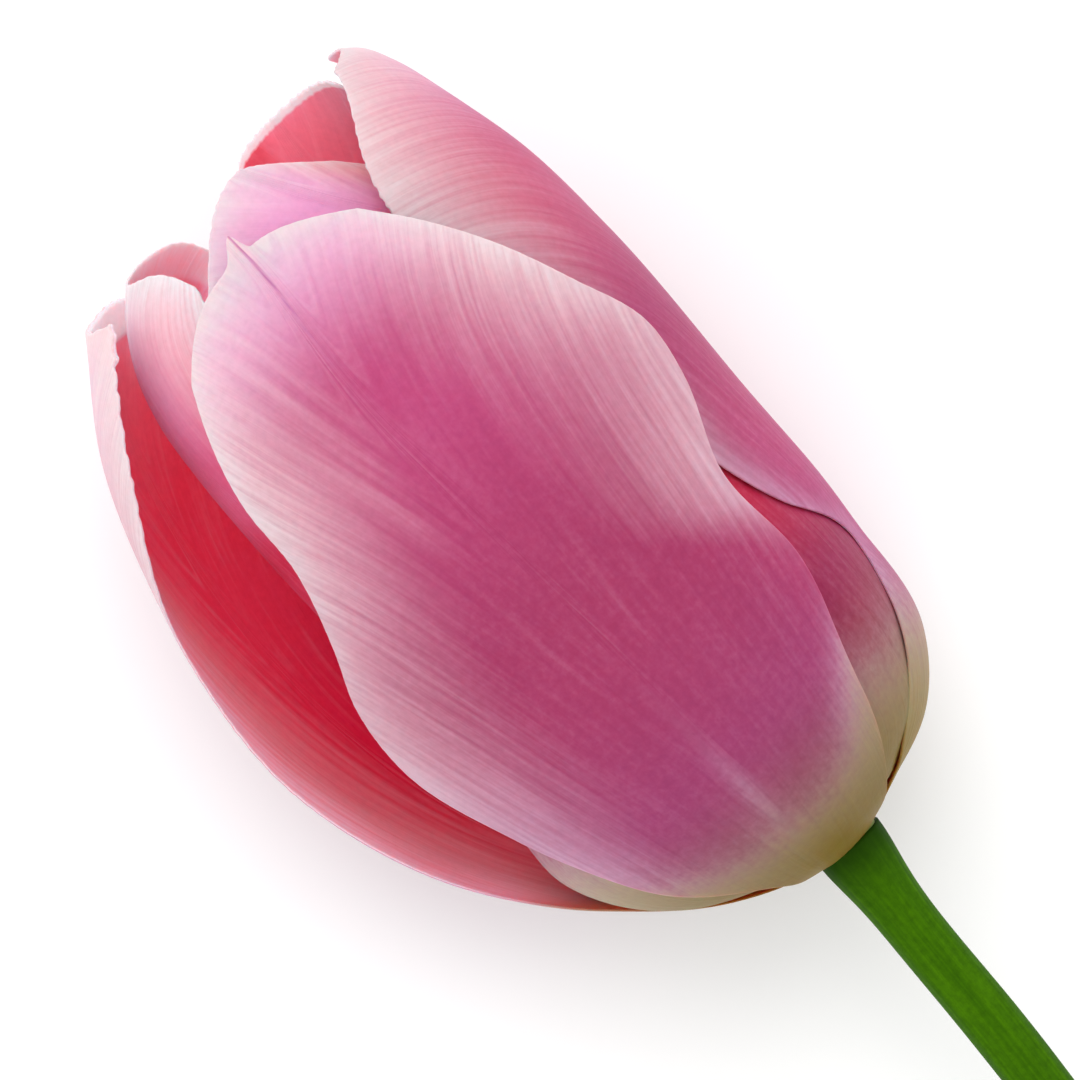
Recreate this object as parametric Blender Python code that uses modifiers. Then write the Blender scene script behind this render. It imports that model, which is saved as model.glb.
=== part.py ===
"""Cut tulip lying on a flat surface: six petals in two whorls, stamens, pistil, receptacle and stem.

Metres, +Z up. The flower is modelled on its own axis, which runs along +X from the foot of the cup
at the origin to the tips of the petals. An empty then lays it down with its tips raised.
A direction round the cup is an azimuth in degrees: 0 is straight up, and it grows clockwise as seen
from the stem, so 90 is the side at -Y.
"""

import math

import bpy
import bmesh
import numpy as np
from mathutils import Quaternion

MM = 0.001
OBJECT_NAME = "cut_tulip"

# How the flower lies: it rests on the belly of the cup and on the cut end of the stem.
TILT = math.radians(6.9)

# Petals, in millimetres and degrees.
PETAL_THICKNESS = 0.8
PETAL_CELLS_ALONG = 20
PETAL_CELLS_ACROSS = 12
SHOULDER_POWER = 2.3
CORNER_POWER = 9
POINT_WIDTH = 0.12
POINT_POWER = 20
STATIONS = (0, 0.12, 0.25, 0.4, 0.55, 0.7, 0.85, 1)
LEVEL = (0,) * len(STATIONS)
FRONT_STATIONS = (0, 0.12, 0.25, 0.4, 0.52, 0.61, 0.67, 0.76, 0.85, 1)
FRONT_LEVEL = (0,) * len(FRONT_STATIONS)
RIGHT_STATIONS = (0, 0.12, 0.2, 0.26, 0.31, 0.4, 0.55, 0.7, 0.805, 0.86, 0.915, 1)

# profile: the midrib seen side-on, as (distance along the axis, radius from the axis).
# left, right: how far each margin reaches round from the midrib, at each station from foot to tip.
# lean: how far the midrib itself swings round. left_lift, right_lift: how far each margin stands
# out from the cup. round_off: how far the shoulders of the tip fall short of its end. corner: how
# far the left and right corners fall short of it. point: how far the middle of the tip stands out.
PETALS = {
    "outer_petal_front": {
        "azimuth": 0,
        "stations": FRONT_STATIONS,
        "profile": (
            (0.8, 3.5), (3.4, 10.8), (8.5, 18.0), (20, 23.6),
            (38, 26.2), (56, 25.8), (69, 21.8), (77.4, 15.5),
        ),
        "left": (45, 34, 46.5, 53, 58, 53, 47, 41.5, 41.5, 36.5),
        "right": (42, 30, 30, 35.5, 38, 44.5, 50, 45, 38.5, 28),
        "lean": FRONT_LEVEL,
        "left_lift": (0, 0, 0, 0.3, 0.5, 0.5, 0.4, 0.2, 0, 0),
        "right_lift": (0, 0, 0, 0, 0, 0.3, 0.6, 1.5, 2.3, 1.3),
        "round_off": 0.06,
        "corner": (0, 0),
        "point": 1.5,
    },
    "outer_petal_right": {
        "azimuth": 120,
        "stations": RIGHT_STATIONS,
        "profile": (
            (0.8, 3.5), (2.6, 8.8), (4.6, 14.0), (9.8, 19), (20, 21.6),
            (37, 23.3), (55, 25.1), (66, 25.2), (76, 22.5), (83, 19),
        ),
        "left": (50, 75, 64, 55, 51, 64, 76.5, 84, 88.5, 88, 77, 45),
        "right": (40, 44, 45, 46, 46, 47, 47, 44, 38, 32, 21, 8),
        "lean": (0, 0, 0, 0, 0, 0, 0, 0, -0.5, -1, -5, -12),
        "left_lift": (0, 0, -0.1, -0.2, -0.4, -0.6, -1.2, -2.0, -2.7, -2.8, -2.2, -1),
        "right_lift": (0, 0, 0.2, 0.4, 0.9, 1.6, 2.7, 2.5, 1.5, 1.0, 0.5, 0),
        "round_off": 0.012,
        "corner": (0, 0.015),
        "point": 0,
    },
    "outer_petal_left": {
        "azimuth": -120,
        "stations": STATIONS,
        "profile": (
            (0.8, 3.5), (2.6, 8.5), (5.8, 14.2), (11.6, 19.5), (20.5, 24.9),
            (40, 29.4), (50, 29.0), (60, 27.2), (72, 22.4), (82, 14.5),
        ),
        "left": (40, 40, 40, 42, 42, 40, 34, 22),
        "right": (30, 18, 26, 31, 33, 37, 56, 66),
        "lean": LEVEL,
        "left_lift": (0, 0, -0.7, -2.3, -4.2, -3.8, -1, 0),
        "right_lift": (0, 0, 0.5, 1.5, 2.0, 1, 0, 0),
        "round_off": 0.02,
        "corner": (0, 0),
        "point": 0,
    },
    "inner_petal_left": {
        "azimuth": -60,
        "stations": STATIONS,
        "profile": (
            (2.1, 3.5), (4.3, 9.4), (7.8, 14.8), (12.5, 18.5), (17.5, 20.4), (22.5, 20.5), (31, 20.2),
            (42, 20.4), (52, 20.2), (60, 19.3), (66, 18.0), (71, 16.3), (76, 13.8), (79.4, 11.4), (82.3, 9),
        ),
        "left": (40, 44, 50, 54, 54, 52, 56, 74),
        "right": (40, 44, 50, 50, 46, 44, 50, 66),
        "lean": (0, 0, 0, 0, 0, -4, -14, -36),
        "left_lift": LEVEL,
        "right_lift": LEVEL,
        "round_off": 0.022,
        "corner": (0.015, 0.02),
        "point": 0,
    },
    "inner_petal_right": {
        "azimuth": 60,
        "stations": STATIONS,
        "profile": (
            (2.1, 3.5), (4.3, 9.6), (7.9, 15.5), (14.5, 19.2),
            (22, 19.9), (34, 20.4), (52, 20.9), (66, 18.7), (76, 13.5), (82.5, 10.0),
        ),
        "left": (40, 44, 50, 52, 54, 52, 46, 36),
        "right": (40, 44, 48, 50, 50, 46, 40, 28),
        "lean": (0, 0, 0, 0, 0, -6, -20, -34),
        "left_lift": LEVEL,
        "right_lift": LEVEL,
        "round_off": 0.05,
        "corner": (0, 0.02),
        "point": 0,
    },
    "inner_petal_back": {
        "azimuth": 180,
        "stations": STATIONS,
        "profile": (
            (2.1, 3.5), (4.5, 9.5), (8.5, 15.5), (17, 19.8), (32, 21.2),
            (52, 21.4), (68, 20.1), (77, 18.2), (83.4, 16.2),
        ),
        "left": (40, 44, 50, 52, 54, 52, 44, 34),
        "right": (40, 44, 50, 52, 54, 52, 42, 29),
        "lean": (0, 0, 0, 0, -4, -12, -24, -42),
        "left_lift": LEVEL,
        "right_lift": LEVEL,
        "round_off": 0.012,
        "corner": (0.01, 0.03),
        "point": 0,
    },
}

# Stem: its middle line in the flower's own frame, in millimetres, from the cup down to the cut.
STEM_ROUTE = (
    (-0.8, 0.1, 0), (-9, 1.4, 0), (-20, 2.6, 0), (-42, 5.6, 0.2),
    (-75, 9.5, 0.4), (-110, 12, 0.3), (-150, 13, 0),
)
STEM_RADIUS = 2.65
STEM_NECK_RADIUS = 3.45
STEM_NECK_LENGTH = 5.0
STEM_STEPS = 24
STEM_CROWDING = 1.4
STEM_BEVEL_STEPS = 4

# Receptacle, pistil and stamens, in millimetres: (radius, distance along the axis) profiles.
RECEPTACLE_PROFILE = (
    (0, 5.3), (1.8, 5.2), (2.8, 4.8), (3.0, 4.0), (2.9, 1.4), (3.1, 0.5), (3.1, 0.0), (0, 0.0),
)
RECEPTACLE_STEPS = 16
OVARY_BASE, OVARY_LENGTH, OVARY_RADIUS = 5.6, 21.5, 3.0
OVARY_WAIST, OVARY_GROOVES = 0.35, 0.12
STIGMA_LENGTH, STIGMA_RADIUS = 3.6, 3.6
STIGMA_WAIST, STIGMA_GROOVES = 0.6, 0.35
LOBES = 3
SWELL_START, SWELL_SPAN, SWELL_POWER = 0.15, 0.75, 0.7
PISTIL_SEGMENTS, PISTIL_RINGS = 18, 10
STAMENS = 6
FIRST_STAMEN = 30
FILAMENT_ROUTE = ((5.55, 2.45), (8.5, 3.6), (12.5, 5.2), (17.5, 6.6))
FILAMENT_RADIUS = 0.5
FILAMENT_STEPS = 7
FILAMENT_BEVEL_STEPS = 2
ANTHER_LENGTH, ANTHER_WIDTH, ANTHER_DEPTH = 14.0, 2.6, 2.0
ANTHER_FOOT = (17.8, 6.65)
ANTHER_SPREAD = math.radians(7)
ANTHER_FULLNESS = 0.25
ANTHER_SEGMENTS, ANTHER_RINGS = 10, 8
GAP = 0.3

COLOURS = {
    "outer_petal": (0.56, 0.10, 0.25, 1),
    "inner_petal": (0.62, 0.09, 0.16, 1),
    "stem": (0.05, 0.17, 0.01, 1),
    "receptacle": (0.13, 0.24, 0.04, 1),
    "ovary": (0.35, 0.45, 0.12, 1),
    "stigma": (0.72, 0.66, 0.36, 1),
    "filament": (0.60, 0.58, 0.35, 1),
    "anther": (0.05, 0.02, 0.05, 1),
}
ROUGHNESS = 0.5


def clear_scene():
    """Removes every object, so that a second run starts empty."""
    for old in list(bpy.data.objects):
        bpy.data.objects.remove(old, do_unlink=True)


def material(name, colour, roughness):
    """A Principled material of one colour."""
    finish = bpy.data.materials.new(name)
    finish.use_nodes = True
    shader = finish.node_tree.nodes["Principled BSDF"]
    shader.inputs["Base Color"].default_value = colour
    shader.inputs["Roughness"].default_value = roughness
    shader.inputs["Metallic"].default_value = 0
    return finish


def add_object(name, data, finish, collection, parent):
    """Links a new object that holds data, with its material, under the parent."""
    piece = bpy.data.objects.new(name, data)
    piece.data.materials.append(finish)
    piece.parent = parent
    collection.objects.link(piece)
    return piece


def through(positions, values, at):
    """A smooth curve through the values: cubic pieces whose slopes come from their neighbours."""
    positions = np.asarray(positions, float)
    values = np.asarray(values, float)
    slopes = np.gradient(values, positions)
    piece = np.clip(np.searchsorted(positions, at, side="right") - 1, 0, len(positions) - 2)
    width = positions[piece + 1] - positions[piece]
    f = (at - positions[piece]) / width
    start = (2 * f**3 - 3 * f**2 + 1) * values[piece] + (f**3 - 2 * f**2 + f) * width * slopes[piece]
    end = (3 * f**2 - 2 * f**3) * values[piece + 1] + (f**3 - f**2) * width * slopes[piece + 1]
    return start + end


def along(points, at):
    """Points on a smooth curve through the given ones, at fractions of its length."""
    points = np.asarray(points, float)
    steps = np.linalg.norm(np.diff(points, axis=0), axis=1)
    run = np.concatenate([[0], np.cumsum(steps)]) / steps.sum()
    return np.stack([through(run, column, at) for column in points.T], axis=-1)


def petal_surface(petal, s, t):
    """The petal's outer face, in millimetres: s runs from its foot to its tip, t from -1 at the left
    margin to 1 at the right. The midrib's profile is turned round the flower's axis, as far as the
    margin's reach times t, and the margins are lifted by the square of t."""
    stations = petal["stations"]
    left = t < 0
    reach = np.where(left, *(through(stations, petal[side], s) for side in ("left", "right")))
    lifts = (through(stations, petal[side], s) for side in ("left_lift", "right_lift"))
    lift = np.where(left, *lifts)
    corner = np.where(left, *petal["corner"])
    shoulder = petal["round_off"] * s**2 * np.abs(t) ** SHOULDER_POWER
    shoulder = shoulder + corner * s**4 * np.abs(t) ** CORNER_POWER
    profile = along(petal["profile"], np.clip(s - shoulder, 0, 1))
    azimuth = np.radians(petal["azimuth"] + through(stations, petal["lean"], s) + t * reach)
    radius = profile[..., 1] + lift * t**2
    height = profile[..., 0] + petal["point"] * np.exp(-((t / POINT_WIDTH) ** 2)) * s**POINT_POWER
    return np.stack([height, -radius * np.sin(azimuth), radius * np.cos(azimuth)], axis=-1)


def build_petal(name, finish, collection, parent):
    """A grid laid on the petal's outer face, thickened inwards."""
    form = bmesh.new()
    bmesh.ops.create_grid(form, x_segments=PETAL_CELLS_ALONG, y_segments=PETAL_CELLS_ACROSS, size=1)
    flat = np.array([vertex.co[:2] for vertex in form.verts])
    places = petal_surface(PETALS[name], (flat[:, 0] + 1) / 2, flat[:, 1]) * MM
    for vertex, place in zip(form.verts, places):
        vertex.co = place
    bmesh.ops.reverse_faces(form, faces=form.faces)
    mesh = bpy.data.meshes.new(name)
    form.to_mesh(mesh)
    form.free()
    mesh.shade_smooth()
    piece = add_object(name, mesh, finish, collection, parent)
    wall = piece.modifiers.new("thickness", "SOLIDIFY")
    wall.thickness = PETAL_THICKNESS * MM
    wall.offset = -1
    wall.use_even_offset = True
    return piece


def build_tube(name, places, radii, bevel_steps, finish, collection, parent):
    """A round stalk along the places, in millimetres, with a radius at each, closed at both ends."""
    curve = bpy.data.curves.new(name, "CURVE")
    curve.dimensions = "3D"
    curve.bevel_depth = MM
    curve.bevel_resolution = bevel_steps
    curve.use_fill_caps = True
    spline = curve.splines.new("POLY")
    spline.points.add(len(places) - 1)
    for point, place, radius in zip(spline.points, places, radii):
        point.co = (*(np.asarray(place) * MM), 1)
        point.radius = radius
    return add_object(name, curve, finish, collection, parent)


def build_stem(finish, collection, parent):
    """The stalk: it widens into a neck just under the cup, and ends in a square cut."""
    at = np.linspace(0, 1, STEM_STEPS) ** STEM_CROWDING
    places = along(STEM_ROUTE, at)
    neck = np.exp(-(((places[:, 0] - STEM_ROUTE[0][0]) / STEM_NECK_LENGTH) ** 2))
    radii = STEM_RADIUS + (STEM_NECK_RADIUS - STEM_RADIUS) * neck
    return build_tube("stem", places, radii, STEM_BEVEL_STEPS, finish, collection, parent)


def build_turned(name, profile, steps, finish, collection, parent):
    """A profile of (radius, distance along the axis), turned about the flower's axis."""
    mesh = bpy.data.meshes.new(name)
    points = [(radius * MM, 0, distance * MM) for radius, distance in profile]
    mesh.from_pydata(points, [(i, i + 1) for i in range(len(points) - 1)], [])
    piece = add_object(name, mesh, finish, collection, parent)
    piece.rotation_euler = (0, math.radians(90), 0)
    turn = piece.modifiers.new("turn", "SCREW")
    turn.steps = turn.render_steps = steps
    turn.use_merge_vertices = True
    turn.merge_threshold = 0.01 * MM
    return piece


def three_lobed(name, base, length, radius, waist, grooves, finish, collection, parent):
    """A ball drawn out along the axis, its section pulled in three times round, as a pistil's is.
    waist is the share of the radius left at the foot, and grooves how deep the three grooves are."""
    form = bmesh.new()
    bmesh.ops.create_uvsphere(form, u_segments=PISTIL_SEGMENTS, v_segments=PISTIL_RINGS, radius=1)
    for vertex in form.verts:
        x, y, z = vertex.co
        azimuth = math.atan2(y, x)
        rise = (z + 1) / 2
        swell = math.sin(math.pi * (SWELL_START + SWELL_SPAN * rise)) ** SWELL_POWER
        groove = grooves * (0.5 - 0.5 * math.cos(LOBES * azimuth))
        spread = radius * (waist + (1 - waist) * swell) * (1 - groove)
        vertex.co = ((base + length * rise) * MM, x * spread * MM, y * spread * MM)
    mesh = bpy.data.meshes.new(name)
    form.to_mesh(mesh)
    form.free()
    mesh.shade_smooth()
    return add_object(name, mesh, finish, collection, parent)


def build_stamen(number, finishes, collection, parent):
    """One filament, and the anther on its tip, at their own azimuth round the ovary."""
    azimuth = math.radians(FIRST_STAMEN + number * 360 / STAMENS)
    across = np.array([0, -math.sin(azimuth), math.cos(azimuth)])
    axis = np.array([1, 0, 0])
    route = along(FILAMENT_ROUTE, np.linspace(0, 1, FILAMENT_STEPS))
    places = [distance * axis + radius * across for distance, radius in route]
    radii = [FILAMENT_RADIUS] * len(places)
    stalk = f"filament_{number + 1}"
    build_tube(stalk, places, radii, FILAMENT_BEVEL_STEPS, finishes["filament"], collection, parent)

    form = bmesh.new()
    bmesh.ops.create_uvsphere(form, u_segments=ANTHER_SEGMENTS, v_segments=ANTHER_RINGS, radius=0.5)
    for vertex in form.verts:
        x, y, z = vertex.co
        fullness = 1 + ANTHER_FULLNESS * math.cos(2 * math.pi * z)
        vertex.co = (
            z * ANTHER_LENGTH * MM,
            x * ANTHER_WIDTH * fullness * MM,
            y * ANTHER_DEPTH * fullness * MM,
        )
    name = f"anther_{number + 1}"
    mesh = bpy.data.meshes.new(name)
    form.to_mesh(mesh)
    form.free()
    mesh.shade_smooth()
    anther = add_object(name, mesh, finishes["anther"], collection, parent)
    middle = ANTHER_LENGTH / 2 + GAP
    distance = ANTHER_FOOT[0] + middle * math.cos(ANTHER_SPREAD)
    radius = ANTHER_FOOT[1] + middle * math.sin(ANTHER_SPREAD)
    anther.location = (distance * axis + radius * across) * MM
    anther.rotation_mode = "QUATERNION"
    anther.rotation_quaternion = leaning(azimuth, ANTHER_SPREAD)
    return anther


def leaning(azimuth, spread):
    """Turns a piece that stands along +X so that it leans outwards by spread, towards azimuth."""
    return Quaternion((1, 0, 0), azimuth) @ Quaternion((0, 1, 0), -spread)


def lay_down(pose, pieces):
    """Tilts the flower, stands its lowest point on z = 0 and centres its box on the origin."""
    pose.rotation_euler = (0, -TILT, 0)
    bpy.context.view_layer.update()
    depsgraph = bpy.context.evaluated_depsgraph_get()
    corners = []
    for piece in pieces:
        held = piece.evaluated_get(depsgraph)
        mesh = held.to_mesh()
        places = np.empty(len(mesh.vertices) * 3)
        mesh.vertices.foreach_get("co", places)
        matrix = np.array(held.matrix_world)
        world = places.reshape(-1, 3) @ matrix[:3, :3].T + matrix[:3, 3]
        corners.append(world.min(axis=0))
        corners.append(world.max(axis=0))
        held.to_mesh_clear()
    low = np.min(corners, axis=0)
    high = np.max(corners, axis=0)
    pose.location = (-(low[0] + high[0]) / 2, -(low[1] + high[1]) / 2, -low[2])


def main():
    clear_scene()
    collection = bpy.data.collections.new(OBJECT_NAME)
    bpy.context.scene.collection.children.link(collection)
    pose = bpy.data.objects.new("tulip_pose", None)
    collection.objects.link(pose)
    finishes = {name: material(name, colour, ROUGHNESS) for name, colour in COLOURS.items()}
    for name in PETALS:
        build_petal(name, finishes[name.rsplit("_", 1)[0]], collection, pose)
    build_stem(finishes["stem"], collection, pose)
    build_turned(
        "receptacle", RECEPTACLE_PROFILE, RECEPTACLE_STEPS, finishes["receptacle"], collection, pose
    )
    three_lobed(
        "ovary", OVARY_BASE, OVARY_LENGTH, OVARY_RADIUS, OVARY_WAIST, OVARY_GROOVES,
        finishes["ovary"], collection, pose,
    )
    stigma_base = OVARY_BASE + OVARY_LENGTH + GAP
    three_lobed(
        "stigma", stigma_base, STIGMA_LENGTH, STIGMA_RADIUS, STIGMA_WAIST, STIGMA_GROOVES,
        finishes["stigma"], collection, pose,
    )
    for number in range(STAMENS):
        build_stamen(number, finishes, collection, pose)
    lay_down(pose, [piece for piece in collection.objects if piece.type != "EMPTY"])


main()
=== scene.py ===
"""Cut tulip: the finished look of the flower, laid on a pale floor.

Every petal is one closed shell whose outer face is made as the solid petal's is: a midrib profile
turned round the flower's axis. Lengths inside the petal functions are in millimetres in the
flower's own frame, +X from the foot of the cup to the tips; lay_down() turns them to metres where the
flower lies.
"""

from functools import partial

import bpy
import numpy as np
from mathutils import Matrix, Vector


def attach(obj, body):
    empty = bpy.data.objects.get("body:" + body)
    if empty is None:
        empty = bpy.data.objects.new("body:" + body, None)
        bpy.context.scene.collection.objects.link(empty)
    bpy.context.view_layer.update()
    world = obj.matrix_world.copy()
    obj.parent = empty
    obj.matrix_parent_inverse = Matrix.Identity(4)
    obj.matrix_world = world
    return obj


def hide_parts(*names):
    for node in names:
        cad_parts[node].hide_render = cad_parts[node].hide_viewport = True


bl_info = {
    "name": "Cut Tulip",
    "version": (1, 0, 0),
    "blender": (4, 5, 0),
    "location": "3D View > Sidebar > Tulip",
    "description": "Builds a cut tulip with veined petals, stamens, pistil and stem",
    "category": "Add Mesh",
}

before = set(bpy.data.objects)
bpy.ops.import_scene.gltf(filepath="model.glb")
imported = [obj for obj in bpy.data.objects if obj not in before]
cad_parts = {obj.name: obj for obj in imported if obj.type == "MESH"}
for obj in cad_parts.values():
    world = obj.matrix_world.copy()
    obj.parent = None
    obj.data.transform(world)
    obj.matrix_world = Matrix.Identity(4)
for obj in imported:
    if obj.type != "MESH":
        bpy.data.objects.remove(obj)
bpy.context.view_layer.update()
BODY = "root"
MM = 0.001

# How the flower lies, as in the solids.
TILT = np.radians(6.9)
FLOWER_ORIGIN = np.array((0.03245, -0.00314, 0.02065))

# A petal's form, close to its solid's. profile is the midrib seen side-on, in mm along the flower's
# axis and out from it. At each station, a share of the way up the petal, left and right are how far each
# margin reaches round the cup in degrees, lean swings the midrib round in degrees, and the lifts stand
# the margins out in mm. round_off, corner and fullness give the tip its left and right shoulders, and
# point and point_width its point. A petal takes PLAIN_PETAL's form where it has none of its own.
STATIONS = (0, 0.12, 0.25, 0.4, 0.55, 0.7, 0.85, 1)
LEVEL = (0,) * len(STATIONS)
PLAIN_PETAL = {
    "stations": STATIONS,
    "lean": LEVEL,
    "left_lift": LEVEL,
    "right_lift": LEVEL,
    "corner": (0, 0),
    "point": 0,
    "point_width": (1, 1),
    "fullness": (2.3, 2.3),
}
PETALS = {
    "outer_petal_front": {
        "azimuth": 0,
        "stations": (0, 0.12, 0.25, 0.4, 0.52, 0.61, 0.67, 0.76, 0.85, 1),
        "profile": (
            (0.8, 3.5), (3.4, 10.8), (8.5, 18.0), (20, 23.6),
            (38, 26.2), (56, 25.8), (69, 21.8), (77.4, 15.5),
        ),
        "left": (45, 34, 46.5, 53, 58, 52.5, 45.1, 38.8, 39.4, 36.5),
        "right": (42, 30, 30, 36.5, 36.2, 45.2, 47.9, 42.6, 37.4, 28),
        "lean": (0, 0, 0, 0, 0, 0, 0, 0, 0, 1.2),
        "left_lift": (0, 0, 0, 0.3, 0.5, 0.5, 0.4, 0.2, 0, 0),
        "right_lift": (0, 0, 0, 0, 0, 0.3, 0.6, 1.2, 1.8, 1.0),
        "round_off": (0.06, 0.06),
        "corner": (0.008, 0),
        "point": 2,
        "point_width": (0.14, 0.045),
        "fullness": (3.4, 2.3),
    },
    "outer_petal_right": {
        "azimuth": 120,
        "stations": (0, 0.12, 0.2, 0.26, 0.31, 0.4, 0.55, 0.7, 0.805, 0.86, 0.915, 1),
        "profile": (
            (0.8, 3.5), (2.6, 8.8), (4.6, 14.0), (9.8, 19), (20, 21.6), (37, 23.2),
            (55, 24.8), (66, 24.7), (74.4, 23.3), (79, 22.1), (81.6, 20.9), (83.2, 19.3),
        ),
        "left": (50, 75, 62, 50.5, 42.5, 62.5, 77, 84, 87, 84, 73, 42),
        "right": (40, 44, 45, 46, 46, 47, 47, 44, 38, 32, 21, 8),
        "lean": (0, 0, 0, 0, 0, 0, 0, 0, -0.5, -1, -5, -12),
        "left_lift": (0, -1.25, -1.15, -1.1, -1.2, -1.75, -2.0, -2.6, -3.4, -4.2, -3.6, -1.5),
        "right_lift": (0, 0, 0.2, 0.4, 0.8, 1.3, 2.3, 2.1, 1.4, 1.0, 0.5, 0),
        "round_off": (0.012, 0.012),
        "corner": (0, 0.06),
    },
    "outer_petal_left": {
        "azimuth": -120,
        "profile": (
            (0.8, 3.5), (2.6, 8.5), (5.8, 14.2), (11.6, 19.5), (20.5, 24.9),
            (40, 29.4), (50, 29.0), (60, 27.2), (72, 22.4), (82, 14.5),
        ),
        "left": (40, 40, 40, 42, 42, 40, 34, 22),
        "right": (30, 18, 26, 31, 33, 37, 56, 66),
        "left_lift": (0, 0, -0.6, -2.0, -4.0, -3.6, -1, 0),
        "right_lift": (0, 0, 0.5, 1.5, 2.0, 1, 0, 0),
        "round_off": (0.02, 0.011),
    },
    "inner_petal_left": {
        "azimuth": -60,
        "profile": (
            (2.1, 3.5), (4.3, 9.5), (7.8, 15.0), (12.5, 18.8), (17.5, 20.6),
            (22.5, 20.2), (31, 18.9), (42, 18.6), (52, 18.3), (60, 17.7),
            (66, 17.0), (71, 16.1), (76, 14.2), (79.4, 11.9), (82.5, 8.8),
        ),
        "left": (40, 44, 50, 54, 54, 52, 54, 54),
        "right": (40, 44, 50, 50, 46, 44, 56, 98),
        "lean": (0, 0, 0, 0, 0, -4, -20, -60),
        "round_off": (0.03, 0.016),
        "corner": (0.05, 0.05),
        "fullness": (2.3, 1.2),
    },
    "inner_petal_right": {
        "azimuth": 60,
        "profile": (
            (2.1, 3.5), (3.9, 10.4), (7.3, 15.9), (13.5, 19.0), (20, 20.1),
            (32, 20.4), (52, 21.0), (66, 19.2), (76, 14.6), (82.5, 11),
        ),
        "left": (40, 44, 50, 52, 54, 54, 55, 50),
        "right": (40, 44, 48, 50, 50, 46, 40, 28),
        "lean": (0, 0, 0, 0, 0, -6, -20, -34),
        "round_off": (0.088, 0.072),
        "corner": (0, -0.005),
        "fullness": (2.3, 1.5),
    },
    "inner_petal_back": {
        "azimuth": 180,
        "profile": (
            (2.1, 3.5), (4.5, 9.5), (8.5, 15.5), (17, 19.8), (32, 21.2),
            (52, 21.4), (68, 20.1), (76.5, 18.2), (82.9, 16.3),
        ),
        "left": (40, 44, 50, 52, 54, 54, 50, 45),
        "right": (40, 44, 50, 52, 54, 52, 42, 29),
        "lean": (0, 0, 0, 0, -4, -12, -24, -42),
        "round_off": (0.012, 0.014),
        "corner": (0.01, 0.05),
    },
}
PETALS = {name: PLAIN_PETAL | own for name, own in PETALS.items()}

# A petal's finish. Pairs are for the left and the right side unless they say otherwise.
#   teeth: depth in mm of the teeth on the left margin, the right margin and the tip
#   spacing: mm from tooth to tooth; seed: where the teeth and the veins start
#   cream: how far up the cream foot reaches in mm, outside and inside
#   hood: length in mm and share of the pale band inside the tip; roll: mm that the wall is thicker there
#   crease: depth in mm of the fold down the midrib at the tip; the fold is also darkened with painted shade
#   pale: how far in from each margin the pale border of the outer face fades, in mm, at each of
#   PALE_STATIONS; lining: the same for the inner face; border: strength of the outer face's border
#   top: how far down from the tip the pale border fades, at the left margin, the midrib and the right
#   warm_flush_and_painted_light: salmon flush outside, towards the tip, partly the petal's own colour and
#       partly painted light
#   coming through the petal over it; glow: painted light, a duller haze over one side of the lining
#   midrib: strength of the pale rib above the foot; shift: mm that rib and veins lie to its left
#   tone_and_painted_light: painted light and shade, how much lighter or darker the lower and the upper half
#       are drawn
PALE_STATIONS = (0, 0.2, 0.4, 0.6, 0.8, 1)
PLAIN_FINISH = {
    "spacing": 1.5,
    "roll": 0,
    "crease": 0,
    "border": 1,
    "warm_flush_and_painted_light": (0, 0),
    "painted_light_haze": (0, 0),
    "midrib": 0,
    "shift": 0,
    "tone_and_painted_light": (1, 1),
}
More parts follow.
